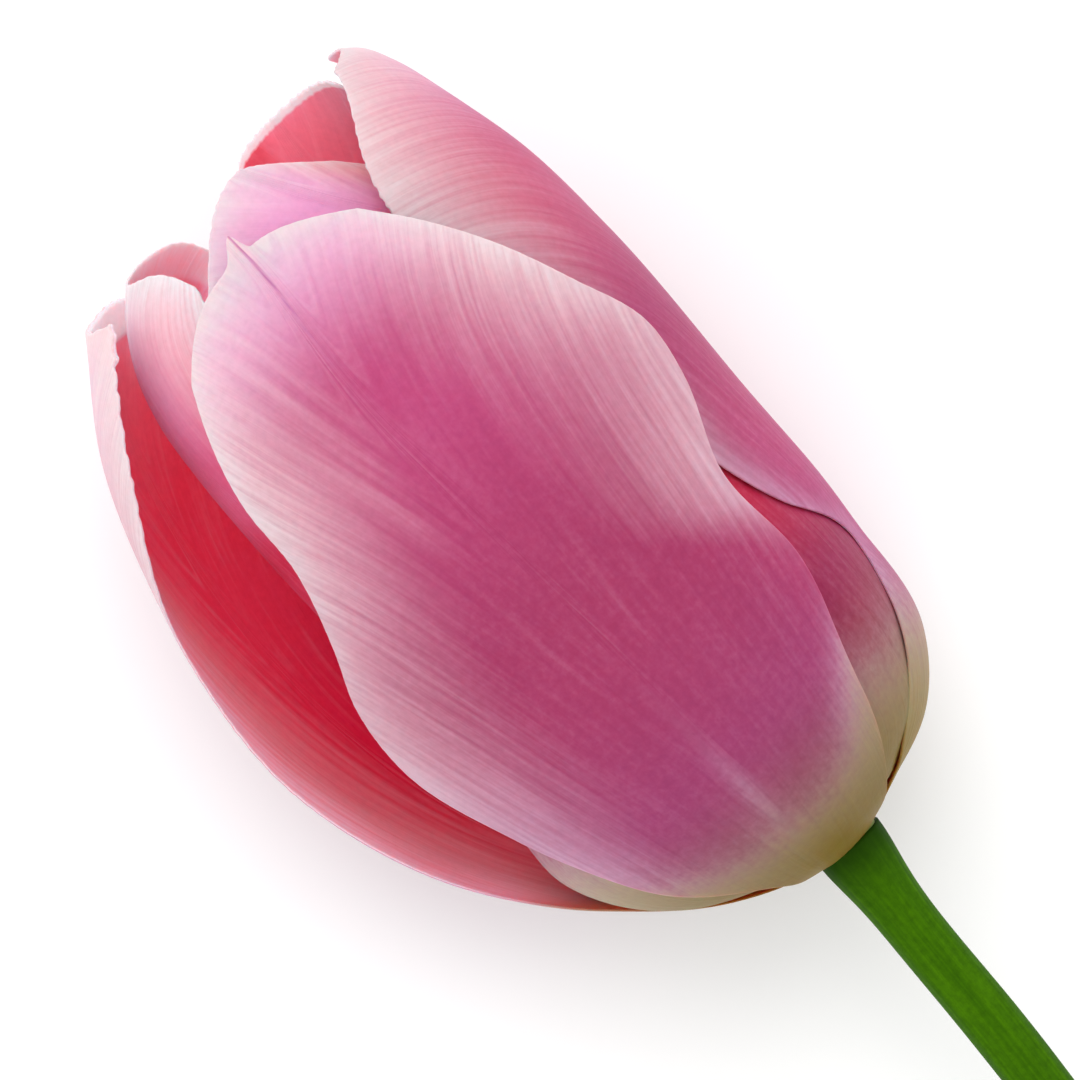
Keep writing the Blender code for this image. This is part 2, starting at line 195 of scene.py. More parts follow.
FINISH = {
    "outer_petal_front": {
        "teeth": (0.05, 0.03, 0.05),
        "seed": 1.7,
        "cream": (24.5, 22),
        "hood": (1.5, 0.8),
        "crease": 0.12,
        "pale": ((4, 4, 14, 19, 17.5, 16), (5, 6.5, 2, 17.5, 17, 11)),
        "lining": ((4, 6, 8, 8, 9, 9), (4, 6, 8, 8, 9, 9)),
        "top": (15, 9.5, 10),
        "midrib": 1,
        "shift": 2,
        "tone_and_painted_light": (1, 0.95),
    },
    "outer_petal_right": {
        "teeth": (0.22, 0.1, 0.15),
        "spacing": 1.2,
        "seed": 5.3,
        "cream": (29, 22),
        "hood": (2, 0.2),
        "pale": ((4, 4, 5, 9, 16, 18), (6, 8, 12, 16, 18, 18)),
        "lining": ((3, 4, 5, 5, 6, 6), (4, 6, 8, 8, 9, 9)),
        "top": (16, 12, 10),
        "warm_flush_and_painted_light": (0.5, 0),
        "midrib": 0.2,
        "tone_and_painted_light": (1.2, 0.85),
    },
    "outer_petal_left": {
        "teeth": (0.12, 0.4, 0.2),
        "spacing": 2.3,
        "seed": 9.1,
        "cream": (28, 26),
        "hood": (4.2, 1),
        "roll": 0.3,
        "pale": ((6, 10, 14, 16, 18, 18), (8, 12, 18, 26, 30, 30)),
        "lining": ((6, 10, 12, 9, 8, 8), (10, 16, 18, 17, 14, 9)),
        "top": (10, 10, 26),
        "midrib": 0.2,
        "tone_and_painted_light": (0.88, 0.96),
    },
    "inner_petal_left": {
        "teeth": (0.1, 0.1, 0.12),
        "seed": 3.9,
        "cream": (40, 20),
        "hood": (3.6, 0.45),
        "pale": ((3, 3, 6, 6, 14, 20), (3, 3, 6, 6, 10, 14)),
        "lining": ((3, 4, 5, 5, 6, 6), (3, 4, 5, 5, 6, 6)),
        "top": (14, 14, 14),
        "warm_flush_and_painted_light": (0.3, 0.7),
        "tone_and_painted_light": (1, 1.1),
    },
    "inner_petal_right": {
        "teeth": (0.1, 0.05, 0.15),
        "seed": 7.7,
        "cream": (27.5, 20),
        "hood": (2, 0.8),
        "pale": ((2, 2, 3, 5, 8, 10), (2, 2, 3, 5, 10, 16)),
        "lining": ((3, 4, 5, 5, 6, 6), (3, 4, 5, 5, 6, 6)),
        "top": (6, 8, 12),
        "border": 0.9,
        "warm_flush_and_painted_light": (0, 1),
    },
    "inner_petal_back": {
        "teeth": (0.2, 0.2, 0.3),
        "seed": 2.3,
        "cream": (26, 20),
        "hood": (0.9, 0.8),
        "pale": ((2, 3, 5, 8, 12, 14), (2, 3, 5, 8, 12, 14)),
        "lining": ((3, 4, 5, 4, 3, 2), (3, 4, 5, 4, 3, 2)),
        "top": (10, 10, 10),
        "warm_flush_and_painted_light": (0.3, 0.3),
        "painted_light_haze": (0, 0.8),
    },
}
FINISH = {name: PLAIN_FINISH | own for name, own in FINISH.items()}

# Points on a petal's grid from foot to tip and from margin to margin.
ROWS, COLUMNS = 280, 121
# A petal's thickness in mm at its margin and from BLADE_START mm in from it.
MARGIN_WALL, BLADE_WALL = 0.24, 0.55
BLADE_START = 7
# About half a petal's width in mm.
HALF_WIDTH = 20
# How the veins fan out: per mm of height, per mm squared above FLARE_START, and the width in mm of the
# bundle that runs straight up beside the midrib.
VEIN_SPREAD, VEIN_FLARE, VEIN_CORE = 0.012, 0.0004, 5.0
FLARE_START = 55
# The distance from the midrib is handed to the petals' coat as a share of this, in mm.
MIDRIB_SPAN = 30
# Refractive index of water-filled plant tissue.
TISSUE_IOR = 1.4

# The stem's midline in the flower's frame, in mm from inside the receptacle to the cut end.
STEM_ROUTE = (
    (0.9, 0, 0), (-9, 1.4, 0), (-20, 2.6, 0), (-42, 5.6, 0.2),
    (-75, 9.5, 0.4), (-110, 12, 0.3), (-150, 13, 0),
)
STEM_ROWS, STEM_SIDES = 420, 64
# Height and radius in mm along the receptacle, and along the midline of a filament.
RECEPTACLE_PROFILE = ((0.0, 3.1), (0.5, 3.1), (1.4, 2.9), (4.0, 3.0), (4.8, 2.8), (5.2, 1.8), (5.3, 0.02))
FILAMENT_ROUTE = ((5.55, 2.45), (8.5, 3.6), (12.5, 5.2), (17.5, 6.6))
ANTHER_FOOT, ANTHER_LENGTH, ANTHER_LEAN = (17.9, 6.65), 13.8, np.radians(7)
OVARY_FOOT, OVARY_LENGTH = 5.65, 21.3
STIGMA_FOOT, STIGMA_HEIGHT, STIGMA_RADIUS = 27.5, 3.4, 3.4
STAMENS = 6


def linear(code):
    """An sRGB hex colour as linear RGBA."""
    values = np.array([int(code[i : i + 2], 16) for i in (1, 3, 5)]) / 255
    values = np.where(values <= 0.04045, values / 12.92, ((values + 0.055) / 1.055) ** 2.4)
    return (*values.tolist(), 1.0)


def colour_property(name, description, code):
    """A colour of the panel, with its default given as sRGB hex."""
    return bpy.props.FloatVectorProperty(
        name=name, description=description, subtype="COLOR", size=4, min=0, max=1, default=linear(code)
    )


class TulipSizes(bpy.types.PropertyGroup):
    """Sizes that a user would change, in metres."""

    stem_radius: bpy.props.FloatProperty(
        name="Stem radius", description="Radius of the stem along its length", default=0.00262, unit="LENGTH"
    )
    neck_radius: bpy.props.FloatProperty(
        name="Neck radius", description="Radius of the stem under the cup", default=0.00345, unit="LENGTH"
    )
    ovary_radius: bpy.props.FloatProperty(
        name="Ovary radius", description="Largest radius of the ovary", default=0.003, unit="LENGTH"
    )
    vein_spacing: bpy.props.FloatProperty(
        name="Vein spacing", description="Distance between veins near a margin", default=0.0006, unit="LENGTH"
    )


class TulipColours(bpy.types.PropertyGroup):
    """Colours that a user would change."""

    # The outer petals' colours run from dark at the foot to pale at the tip: partly their own colour, partly
    # painted shade low down and painted light at the tip.
    outer_low: colour_property("Outer petal, low", "Outside of an outer petal above its foot", "#8E3264")
    outer_mid: colour_property("Outer petal, middle", "Outside of an outer petal at mid height", "#982A58")
    outer_high: colour_property("Outer petal, high", "Outside of an outer petal at its shoulder", "#B23E72")
    outer_tip: colour_property("Outer petal, tip", "Outside of an outer petal at its tip", "#E29CC6")
    pale_low: colour_property("Margin, low", "Pale border of a petal near its foot", "#B88CA6")
    pale_mid: colour_property("Margin, middle", "Pale border of a petal at mid height", "#CDA5B1")
    pale_high: colour_property("Margin, high", "Pale border of a petal near its tip", "#E2CACD")
    # The inner petals' low and middle crimson is partly their own colour, partly painted shade and painted
    # red light thrown back on them by the linings round them.
    inner_low: colour_property("Inner petal, low", "Outside of an inner petal above its foot", "#86003E")
    inner_mid: colour_property("Inner petal, middle", "Outside of an inner petal at mid height", "#B80A36")
    inner_high: colour_property("Inner petal, high", "Outside of an inner petal at its shoulder", "#D0587E")
    inner_tip: colour_property("Inner petal, tip", "Outside of an inner petal at its tip", "#D994BE")
    lining_low: colour_property("Lining, low", "Inside of a petal above its foot", "#B8406C")
    lining_mid: colour_property("Lining, middle", "Inside of a petal at mid height", "#E8205E")
    lining_high: colour_property("Lining, high", "Inside of a petal at its shoulder", "#F4507A")
    lining_tip: colour_property("Lining, tip", "Inside of a petal at its tip", "#F590A8")
    lining_pale: colour_property("Lining, margin", "Inside of a petal along its margin", "#F4E0EE")
    hood: colour_property("Rolled rim", "The rolled rim at a petal's tip", "#FFFAFE")
    # The salmon flush is partly the petals' own warm colour and partly painted light coming through the
    # petals over them.
    salmon_and_painted_light: colour_property("Salmon flush", "Warm flush on the sunny side of a petal", "#DE6E7C")
    # The lining's dusk colour is painted light: a duller haze where light comes through the back petal.
    painted_haze_colour: colour_property("Lining dusk", "Duller side of the back petal's lining", "#C0566C")
    # The crease colour is painted shade in the fold down the midrib.
    crease: colour_property("Crease", "The fold down the midrib at the tip", "#B05A98")
    cream: colour_property("Cream foot", "The pale foot of a petal", "#A69680")
    olive: colour_property("Olive foot", "The very foot of a petal", "#6C5612")
    stem: colour_property("Stem", "Skin of the stem", "#2D5600")
    stem_light: colour_property("Stem, light", "The yellower stripes of the stem", "#437200")
    # The dark stem colour is the stem's speckle, and painted shade on its neck under the cup.
    stem_dark: colour_property("Stem, dark", "Shaded neck of the stem", "#183600")
    pith: colour_property("Pith", "The cut face of the stem", "#B9C98A")


# ---------------------------------------------------------------- curves and surfaces


def through(positions, values, at):
    """A smooth curve through the values: cubic pieces whose slopes come from their neighbours."""
    positions = np.asarray(positions, float)
    values = np.asarray(values, float)
    slopes = np.gradient(values, positions)
    piece = np.clip(np.searchsorted(positions, at, side="right") - 1, 0, len(positions) - 2)
    width = positions[piece + 1] - positions[piece]
    f = (at - positions[piece]) / width
    start = (2 * f**3 - 3 * f**2 + 1) * values[piece] + (f**3 - 2 * f**2 + f) * width * slopes[piece]
    end = (3 * f**2 - 2 * f**3) * values[piece + 1] + (f**3 - f**2) * width * slopes[piece + 1]
    return start + end


def along(points, at):
    """Points on a smooth curve through the given ones, at fractions of its length."""
    points = np.asarray(points, float)
    steps = np.linalg.norm(np.diff(points, axis=0), axis=1)
    run = np.concatenate([[0], np.cumsum(steps)]) / steps.sum()
    return np.stack([through(run, column, at) for column in points.T], axis=-1)


def smooth_step(low, high, value):
    """0 below low, 1 above high, and 3f² - 2f³ between them."""
    f = np.clip((value - low) / (high - low), 0, 1)
    return f * f * (3 - 2 * f)


def lay_down(places):
    """Millimetres in the flower's frame to metres where it lies: tilted about Y, then moved."""
    x, y, z = np.moveaxis(np.asarray(places, float) * MM, -1, 0)
    turned = np.stack([x * np.cos(TILT) - z * np.sin(TILT), y, x * np.sin(TILT) + z * np.cos(TILT)], axis=-1)
    return turned + FLOWER_ORIGIN


def petal_surface(petal, s, t):
    """The petal's outer face, in millimetres: s runs from its foot to its tip, t from -1 at the left
    margin to 1 at the right. The midrib's profile is turned round the flower's axis, as far as the
    margin's reach times t, and the margins are lifted by the square of t. Near the tip, round_off and
    corner draw the shoulders down along the profile, and point draws the middle out."""
    stations = petal["stations"]
    left = t < 0
    reach = np.where(left, through(stations, petal["left"], s), through(stations, petal["right"], s))
    lift = np.where(left, through(stations, petal["left_lift"], s), through(stations, petal["right_lift"], s))
    corner = np.where(left, *petal["corner"])
    round_off = np.where(left, *petal["round_off"])
    shoulder = round_off * s**2 * np.abs(t) ** np.where(left, *petal["fullness"])
    shoulder = shoulder + corner * s**4 * np.abs(t) ** 9
    profile = along(petal["profile"], np.clip(s - shoulder, 0, 1))
    azimuth = np.radians(petal["azimuth"] + through(stations, petal["lean"], s) + t * reach)
    radius = profile[..., 1] + lift * t**2
    width = np.where(left, *petal["point_width"])
    height = profile[..., 0] + petal["point"] * np.exp(-((t / width) ** 2)) * s**20
    return np.stack([height, -radius * np.sin(azimuth), radius * np.cos(azimuth)], axis=-1)


def teeth(distance, spacing, seed):
    """Uneven teeth from 0 to 1 along a margin: a wave of that spacing, bent by a slower one, under a
    finer one half as long."""
    bend = 1.5 * np.sin(2 * np.pi * distance / (4.9 * spacing) + seed)
    wave = np.sin(2 * np.pi * distance / spacing + bend + seed)
    return 0.5 + 0.34 * wave + 0.16 * np.sin(4.1 * np.pi * distance / spacing + 3 * seed)


def petal_grid(petal, finish):
    """The outer face on a grid of rows from foot to tip, closer together at the margins. Its margins
    are toothed: the outermost columns and rows are drawn inwards by the depth of the teeth."""
    u = np.linspace(-1, 1, COLUMNS)
    s, t = np.meshgrid(np.linspace(0, 1, ROWS), 1.25 * u - 0.25 * u**3, indexing="ij")
    rough = petal_surface(petal, s, t)
    length = np.linalg.norm(np.diff(rough, axis=0), axis=2).sum(axis=0).max()
    half_width = np.linalg.norm(np.diff(rough, axis=1), axis=2).sum(axis=1, keepdims=True) / 2
    left, right, top = finish["teeth"]
    # The margins are smooth up to about half the petal's height.
    depth = np.where(t < 0, left, right) * smooth_step(0.4, 0.6, s)
    side = teeth(s * length, finish["spacing"], finish["seed"]) * np.abs(t) ** 16
    tip = teeth(t * half_width, finish["spacing"], finish["seed"] + 2) * s**80
    toothed_t = t * (1 - depth * side / np.maximum(half_width, 1))
    toothed_s = s - top * tip / length
    places = petal_surface(petal, toothed_s, toothed_t)
    return s, t, places, outward_normals(rough), length


def outward_normals(places):
    """Unit normals of a grid of points about the flower's axis, pointing away from it."""
    down = np.gradient(places, axis=0)
    across = np.gradient(places, axis=1)
    normals = np.cross(down, across)
    normals /= np.maximum(np.linalg.norm(normals, axis=-1, keepdims=True), 1e-9)
    radial = places * (0, 1, 1)
    facing = np.sign((normals * radial).sum())
    return normals * facing


# ---------------------------------------------------------------- meshes


def grid_faces(rows, columns, first=0, wrap=False):
    """Quads over a grid of rows by columns whose vertices start at first."""
    index = first + np.arange(rows * columns).reshape(rows, columns)
    right = np.roll(index, -1, axis=1) if wrap else index[:, 1:]
    left = index if wrap else index[:, :-1]
    return np.stack([left[:-1], left[1:], right[1:], right[:-1]], axis=-1).reshape(-1, 4)


def signed_volume(places, quads):
    """The volume that the quads enclose, positive when they face outwards."""
    a, b, c, d = (places[quads[:, k]] for k in range(4))
    return ((a * np.cross(b, c)).sum() + (a * np.cross(c, d)).sum()) / 6


def add_piece(name, places, quads, coats, node, attributes=None, veins=None, faces=None):
    """A closed mesh of quads at its place, riding on the body and standing for its node. A quad with a
    repeated last corner is a triangle. attributes are colours per vertex, veins is the UV map, and
    faces says which of the coats each face takes."""
    if signed_volume(places, quads) < 0:
        quads = quads[:, ::-1].copy()
        quads = np.where(quads[:, :1] == quads[:, 1:2], np.roll(quads, -2, axis=1), quads)
    triangle = quads[:, 2] == quads[:, 3]
    sizes = np.where(triangle, 3, 4)
    keep = np.ones(quads.shape, bool)
    keep[triangle, 3] = False
    corners = quads[keep]
    mesh = bpy.data.meshes.new(name)
    mesh.vertices.add(len(places))
    mesh.vertices.foreach_set("co", places.astype(np.float32).ravel())
    mesh.loops.add(len(corners))
    mesh.loops.foreach_set("vertex_index", corners.astype(np.int32))
    mesh.polygons.add(len(sizes))
    mesh.polygons.foreach_set("loop_start", np.concatenate([[0], np.cumsum(sizes)[:-1]]).astype(np.int32))
    if faces is not None:
        mesh.polygons.foreach_set("material_index", faces.astype(np.int32))
    mesh.update(calc_edges=True)
    for key, values in (attributes or {}).items():
        layer = mesh.attributes.new(key, "FLOAT_COLOR", "POINT")
        layer.data.foreach_set("color", values.astype(np.float32).ravel())
    if veins is not None:
        layer = mesh.uv_layers.new(name="veins")
        layer.data.foreach_set("uv", veins[corners].astype(np.float32).ravel())
    mesh.shade_smooth()
    if mesh.validate():
        raise RuntimeError(f"{name} has faulty faces")
    for coat in coats:
        mesh.materials.append(coat)
    piece = bpy.data.objects.new(name, mesh)
    bpy.context.scene.collection.objects.link(piece)
    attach(piece, BODY)
    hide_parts(node)


def closed_rings(rings):
    """A skin over rings of points, closed at each end by a fan to the ring's middle point."""
    count, around = rings.shape[:2]
    places = np.concatenate([rings.reshape(-1, 3), rings[:1].mean(axis=1), rings[-1:].mean(axis=1)])
    quads = grid_faces(count, around, wrap=True)
    ring = np.arange(around)
    following = np.roll(ring, -1)
    first = np.full(around, count * around)
    last = first + 1
    base = (count - 1) * around
    start_fan = np.stack([ring, following, first, first], axis=1)
    end_fan = np.stack([base + following, base + ring, last, last], axis=1)
    return places, np.concatenate([quads, start_fan, end_fan])


def turned_rings(height, radius, turn):
    """Rings about the flower's axis, at those heights and radii."""
    rings = np.broadcast_arrays(height, -radius * np.sin(turn), radius * np.cos(turn))
    return np.stack(rings, axis=-1)


def tube_rings(route, radii, around, shape=None):
    """Rings of the given radii, square to a route. shape(turn) scales the radius round the ring."""
    tangent = np.gradient(route, axis=0)
    tangent /= np.linalg.norm(tangent, axis=1, keepdims=True)
    # A hair off the Y axis, so that a stretch along Y has a side too.
    side = np.cross(tangent, (0, 1, 0.0003))
    side /= np.linalg.norm(side, axis=1, keepdims=True)
    other = np.cross(tangent, side)
    turn = np.linspace(0, 2 * np.pi, around, endpoint=False)
    scale = 1 if shape is None else shape(turn)
    spread = np.asarray(radii)[:, None] * scale
    return (
        route[:, None]
        + (spread * np.cos(turn))[..., None] * side[:, None]
        + (spread * np.sin(turn))[..., None] * other[:, None]
    )


# ---------------------------------------------------------------- materials


def add_node(tree, kind, inputs=None, stops=(), **settings):
    """Adds a node with its settings and gives its first live output. An input is given a value, or is
    linked when the value is a socket. stops are the places and colours that a ramp eases through."""
    made = tree.nodes.new("ShaderNode" + kind)
    for key, value in settings.items():
        setattr(made, key, value)
    for key, value in (inputs or {}).items():
        if isinstance(value, bpy.types.NodeSocket):
            tree.links.new(value, made.inputs[key])
        else:
            made.inputs[key].default_value = value
    if stops:
        ramp = made.color_ramp
        ramp.interpolation = "EASE"
        ramp.elements[0].position, ramp.elements[0].color = stops[0]
        ramp.elements[1].position, ramp.elements[1].color = stops[-1]
        for place, colour in stops[1:-1]:
            ramp.elements.new(place).color = colour
    return next((socket for socket in made.outputs if socket.enabled), None)


def new_material(name):
    """An empty material, and a function that adds nodes to it."""
    finish = bpy.data.materials.new(name)
    finish.use_nodes = True
    finish.node_tree.nodes.clear()
    return finish, partial(add_node, finish.node_tree)


def streaks(add, veins, across, lengthwise, detail, offset=0.0):
    """Noise drawn out along the veins: across and lengthwise are its cells per unit of the vein map."""
    scale, start = (across, lengthwise, 1), (offset, offset, 0)
    placed = add("Mapping", {"Vector": veins, "Scale": scale, "Location": start})
    grain = {"Vector": placed, "Scale": 1.0, "Detail": detail, "Roughness": 0.55}
    return add("TexNoise", grain, noise_dimensions="2D")


def petal_material(name, core, pale, lining, roughness):
    """Tulip petal: living skin over watery tissue, grown with fine veins that fan out to the margins.
    It is silky rather than glossy, lets a little light through, and its colour breaks up along the
    veins. core and pale are ramps of colour from foot to tip: the middle of the petal and its border."""
    colours = bpy.context.scene.tulip_colours
    spacing = bpy.context.scene.tulip_sizes.vein_spacing / MM
    finish, add = new_material(name)
    smooth = {"interpolation_type": "SMOOTHSTEP"}
    tint = add("Attribute", attribute_name="tint")
    edge, foot, flush_and_painted_light = add("SeparateColor", {"Color": tint}).node.outputs
    height = tint.node.outputs["Alpha"]
    marks = add("Attribute", attribute_name="marks")
    crease, span, hood = add("SeparateColor", {"Color": marks}).node.outputs
    painted_brightness = marks.node.outputs["Alpha"]
    veins = add("UVMap", uv_map="veins")

    # Veins are 0.6 mm apart. A unit of the map is wide at the margins and narrow at the midrib, so
    # there are two sets of fine veins, and they change over from 3 to 14 mm beside the midrib.
    outer_veins = streaks(add, veins, 20 / spacing, 0.07, 2.0)
    inner_veins = streaks(add, veins, 6 / spacing, 0.07, 2.0, 3.1)
    broad = streaks(add, veins, 5, 0.04, 1.0, 7.1)
    by_margin = add("MapRange", {"Value": span, 1: 3 / MIDRIB_SPAN, 2: 14 / MIDRIB_SPAN}, **smooth)
    by_midrib = add("Math", {0: 1.0, 1: by_margin}, operation="SUBTRACT")
    fine = add("Math", {0: inner_veins, 1: by_midrib}, operation="MULTIPLY")
    fine = add("Math", {0: outer_veins, 1: by_margin, 2: fine}, operation="MULTIPLY_ADD")
    # Cells of the skin show as a mottle about 0.7 mm across.
    objects = add("TexCoord").node.outputs["Object"]
    mottle = add("TexNoise", {"Vector": objects, "Scale": 1400.0, "Detail": 2.0, "Roughness": 0.6})
    fine_off, broad_off, mottle_off = (
        add("Math", {0: noise, 1: 0.5}, operation="SUBTRACT") for noise in (fine, broad, mottle)
    )
    broad_off = add("Math", {0: broad_off, 1: 0.3}, operation="MULTIPLY")
    ragged = add("Math", {0: fine_off, 1: 0.9, 2: broad_off}, operation="MULTIPLY_ADD")

    body = add("ValToRGB", {"Fac": height}, core)
    border = add("ValToRGB", {"Fac": height}, pale)
    if not lining:
        # Towards the border the skin takes on a trace of the tip's colour.
        blush = add("Math", {0: edge, 1: 0.5, 2: 0.5}, operation="MULTIPLY_ADD")
        blush = add("Math", {0: blush, 1: 0.0}, operation="MAXIMUM")
        blush = add("Math", {0: blush, 1: 0.08}, operation="MULTIPLY")
        body = add("Mix", {0: blush, 6: body, 7: colours.outer_tip}, data_type="RGBA")

    # The border and the foot break up along the veins.
    border_share = add("Math", {0: ragged, 1: 0.6 if lining else 0.45, 2: edge}, operation="MULTIPLY_ADD")
    border_share = add("Math", {0: border_share, 1: 0.0}, operation="MAXIMUM")
    border_share = add("Math", {0: border_share, 1: 1.2 if lining else 1.7}, operation="POWER")
    foot = add("Math", {0: mottle_off, 1: 0.3, 2: foot}, operation="MULTIPLY_ADD")
    foot = add("Math", {0: ragged, 1: 0.28, 2: foot}, operation="MULTIPLY_ADD")
    lilac = add("MapRange", {"Value": foot, 1: -0.1, 2: 0.8}, **smooth)
    lilac = add("Math", {0: lilac, 1: 0.7}, operation="MULTIPLY")
    cream = add("MapRange", {"Value": foot, 1: 0.25, 2: 1.05}, **smooth)
    olive = add("MapRange", {"Value": height, 1: 0.32, 2: 0.08}, **smooth)
    # The fold down the midrib is darkened with painted shade, a line 0.25 mm to each side.
    painted_crease_shade = add("MapRange", {"Value": span, 1: 0.25 / MIDRIB_SPAN, 2: 0.03 / MIDRIB_SPAN}, **smooth)
    painted_crease_shade = add("Math", {0: crease, 1: painted_crease_shade}, operation="MULTIPLY")
    skin = body
    # The flush is partly painted light: outside a salmon flush, partly the petal's own colour; on the lining
    # a duller haze of light.
    for share, colour in (
        (flush_and_painted_light, colours.painted_haze_colour if lining else colours.salmon_and_painted_light),
        (border_share, border),
        (hood, colours.hood),
        (lilac, colours.pale_low),
        (cream, colours.cream),
        (olive, colours.olive),
        (painted_crease_shade, colours.crease),
    ):
        skin = add("Mix", {0: share, 6: skin, 7: colour}, data_type="RGBA")

    # The tone breaks up with the mottle and the veins; its last factor, set petal by petal, is painted light
    # and shade.
    tone_and_painted_light = add("Math", {0: mottle_off, 1: 0.22, 2: 1.0}, operation="MULTIPLY_ADD")
    tone_and_painted_light = add("Math", {0: ragged, 1: 0.16, 2: tone_and_painted_light}, operation="MULTIPLY_ADD")
    tone_and_painted_light = add("Math", {0: tone_and_painted_light, 1: painted_brightness}, operation="MULTIPLY")
    shade = add("VectorMath", {0: skin, "Scale": tone_and_painted_light}, operation="SCALE")

    # Veins stand about 0.05 mm proud of the skin, and the fold is as deep again.
    fold = add("Math", {0: painted_crease_shade, 1: -1.5, 2: fine}, operation="MULTIPLY_ADD")
    rise = add("Math", {0: mottle, 1: 0.3, 2: fold}, operation="MULTIPLY_ADD")
    coat = {
        "Base Color": shade,
        "Roughness": roughness,
        "IOR": TISSUE_IOR,
        "Specular IOR Level": 0.15,
        "Subsurface Weight": 1.0 if lining else 0.7,
        "Subsurface Radius": (1.0, 0.25, 0.25),
        "Subsurface Scale": 0.002,
        "Sheen Weight": 0.02,
        "Sheen Roughness": 0.4,
        "Normal": add("Bump", {"Height": rise, "Strength": 0.6, "Distance": 0.00012}),
    }
    add("OutputMaterial", {"Surface": add("BsdfPrincipled", coat)})
    return finish


def lining_material():
    """The inside of a petal, the same in both whorls."""
    colours = bpy.context.scene.tulip_colours
    core = (
        (0.12, colours.lining_low),
        (0.4, colours.lining_mid),
        (0.75, colours.lining_high),
        (1.0, colours.lining_tip),
    )
    pale = ((0.1, colours.lining_low), (0.3, colours.lining_pale), (1.0, colours.lining_pale))
    return petal_material("petal lining", core, pale, True, 0.45)


def plant_material(name, colour, second, scale, roughness, bump, subsurface=0.1):
    """Plant tissue with a waxy or dusty skin: two close colours in soft noise, and a fine grain. scale
    is in cells per metre, so 1000 gives a grain of 1 mm, and bump is the depth of the grain in metres."""
    finish, add = new_material(name)
    objects = add("TexCoord").node.outputs["Object"]
    stretched = add("Mapping", {"Vector": objects, "Scale": (0.25, 1, 1)})
    blotches = add("TexNoise", {"Vector": stretched, "Scale": scale, "Detail": 4.0, "Roughness": 0.6})
    share = add("MapRange", {"Value": blotches, "From Min": 0.35, "From Max": 0.7})
    coat = {
        "Base Color": add("Mix", {0: share, 6: colour, 7: second}, data_type="RGBA"),
        "Roughness": roughness,
        "IOR": TISSUE_IOR,
        "Subsurface Weight": subsurface,
        "Subsurface Radius": (0.4, 1.0, 0.2),
        "Subsurface Scale": 0.0006,
        "Normal": add("Bump", {"Height": blotches, "Strength": 0.4, "Distance": bump}),
    }
    add("OutputMaterial", {"Surface": add("BsdfPrincipled", coat)})
    return finish


def stem_material():
    """Tulip stalk: smooth waxy skin, finely striped along its length, with painted shade on its neck under
    the cup.
    """
    colours = bpy.context.scene.tulip_colours
    finish, add = new_material("waxy stalk skin")
    tint = add("Attribute", attribute_name="tint")
    neck, cut, _ = add("SeparateColor", {"Color": tint}).node.outputs
    # The vein map is in millimetres: stripes about 0.45 mm wide and 11 mm long.
    stripes = streaks(add, add("UVMap", uv_map="veins"), 2.2, 0.09, 3.0)
    objects = add("TexCoord").node.outputs["Object"]
    # Cells of the skin, drawn 0.8 mm across so that they show.
    grain = add("TexNoise", {"Vector": objects, "Scale": 1300.0, "Detail": 4.0, "Roughness": 0.7})
    share = add("MapRange", {"Value": stripes, "From Min": 0.15, "From Max": 0.85})
    speckle = add("MapRange", {"Value": grain, "From Min": 0.4, "From Max": 0.7, "To Max": 0.36})
    skin = colours.stem
    for part, colour in (
        (share, colours.stem_light),
        (speckle, colours.stem_dark),
        # The neck under the cup is darkened here as painted shade.
        (neck, colours.stem_dark),
        (cut, colours.pith),
    ):
        skin = add("Mix", {0: part, 6: skin, 7: colour}, data_type="RGBA")
    coat = {
        "Base Color": skin,
        "Roughness": 0.55,
        "IOR": TISSUE_IOR,
        "Specular IOR Level": 0.05,
        "Normal": add("Bump", {"Height": stripes, "Strength": 0.25, "Distance": 0.00008}),
    }
    add("OutputMaterial", {"Surface": add("BsdfPrincipled", coat)})
    return finish


# ---------------------------------------------------------------- petals


def below_tip(finish, s):
    """How far the rib and the veins lie to the left of the midrib, in mm: the shift fades at the tip."""
    return finish["shift"] * smooth_step(1, 0.75, s)


